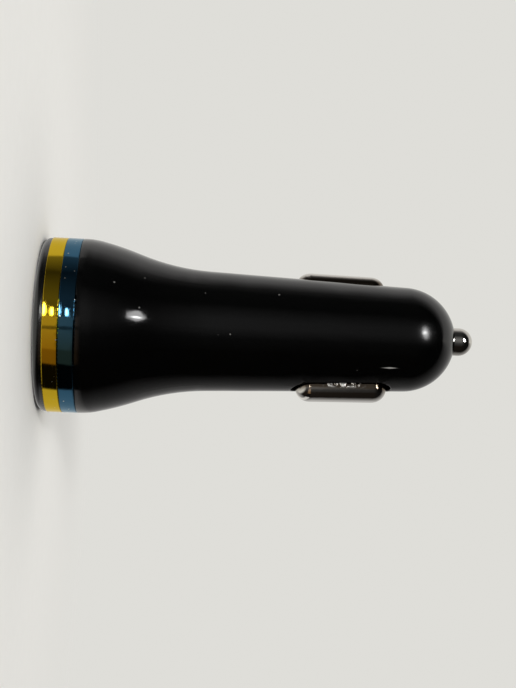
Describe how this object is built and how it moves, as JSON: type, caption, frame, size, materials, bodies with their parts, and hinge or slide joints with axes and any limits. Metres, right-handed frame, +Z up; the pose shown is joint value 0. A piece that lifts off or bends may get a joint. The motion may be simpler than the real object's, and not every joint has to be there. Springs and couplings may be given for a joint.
{
  "type": "car usb charger plug",
  "caption": "Trumpet-shaped plug that charges by USB from a car's round power socket, with sprung side contacts and tip.",
  "frame": {"origin": "middle of the face with the sockets, on the surface that the plug stands on", "axes": "+Z up the axis, from the face towards the nose and the tip; +X towards the right contact; +Y towards the side of the board that carries the choke"},
  "size_m": [0.0322, 0.0322, 0.081],
  "materials": {
    "black_gloss": "gloss",
    "black_cap": "satin",
    "gold_trim": "polished",
    "blue_trim": "polished",
    "board": "satin",
    "socket_steel": "satin",
    "socket_insulator": "matte",
    "socket_pins": "gloss",
    "ferrite": "matte",
    "copper": "gloss",
    "can": "satin",
    "chip": "matte",
    "chip_tan": "satin",
    "tinned": "satin",
    "nickel": "polished",
    "spring_steel": "satin",
    "terminal": "satin"
  },
  "bodies": {
    "body": {"housing": "black_gloss", "faceplate": "black_cap", "gold_ring": "gold_trim", "blue_ring": "blue_trim", "circuit_board": "board", "lower_usb_shell": "socket_steel", "upper_usb_shell": "socket_steel", "lower_usb_tongue": "socket_insulator", "upper_usb_tongue": "socket_insulator", "lower_usb_pins": "socket_pins", "upper_usb_pins": "socket_pins", "inductor_core": "ferrite", "inductor_winding": "copper", "input_capacitor": "can", "output_capacitor": "can", "controller_chip": "chip", "chip_legs": "tinned", "rectifier_diode": "chip", "chip_resistors": "chip", "chip_capacitors": "chip_tan", "tip_spring": "spring_steel", "tip_terminal": "terminal", "right_leaf_spring": "spring_steel", "left_leaf_spring": "spring_steel"},
    "tip": {"tip_contact": "nickel"},
    "right_blade": {"right_contact": "nickel"},
    "left_blade": {"left_contact": "nickel"}
  },
  "joints": [
    {"name": "tip_press", "type": "slide", "parent": "body", "child": "tip", "axis": [0, 0, -1], "range_m": [0, 0.0025], "stiffness_N_per_m": 800, "deforming": ["tip_spring"]},
    {"name": "right_press", "type": "slide", "parent": "body", "child": "right_blade", "axis": [-1, 0, 0], "range_m": [0, 0.0019], "stiffness_N_per_m": 1500, "deforming": ["right_leaf_spring"]},
    {"name": "left_press", "type": "slide", "parent": "body", "child": "left_blade", "axis": [1, 0, 0], "range_m": [-0.00045, 0.00145], "stiffness_N_per_m": 1500, "deforming": ["left_leaf_spring"]}
  ]
}
